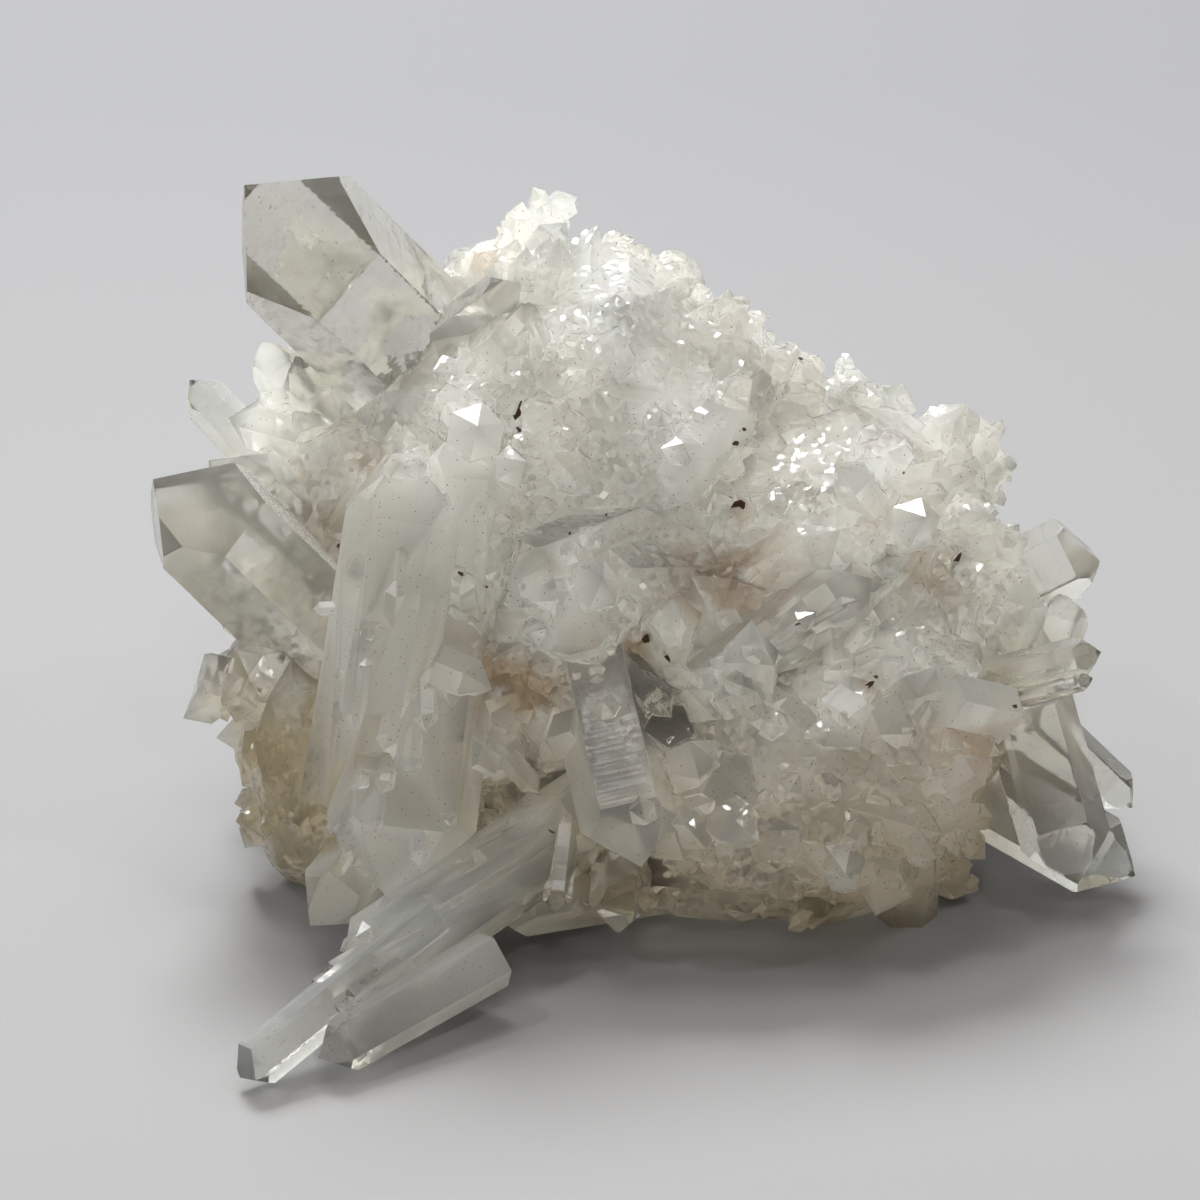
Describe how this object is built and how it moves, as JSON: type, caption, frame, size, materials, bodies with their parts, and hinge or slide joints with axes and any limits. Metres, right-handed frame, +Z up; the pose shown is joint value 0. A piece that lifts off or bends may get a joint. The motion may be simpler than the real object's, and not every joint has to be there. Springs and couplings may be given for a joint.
{
  "type": "rock crystal cluster",
  "caption": "Hand-size cluster of clear and milky quartz crystals grown together, with pointed six-sided prisms on a lumpy mass and a flat rest face.",
  "frame": {"origin": "on the rest face, below the middle of the bounding box", "axes": "+Z up from the rest face, +X to the right as the specimen is shown, -Y towards the viewer"},
  "size_m": [0.098, 0.105, 0.0674],
  "materials": {
    "rock_crystal": "gloss"
  },
  "bodies": {
    "root": {"quartz_cluster": "rock_crystal"}
  },
  "joints": []
}
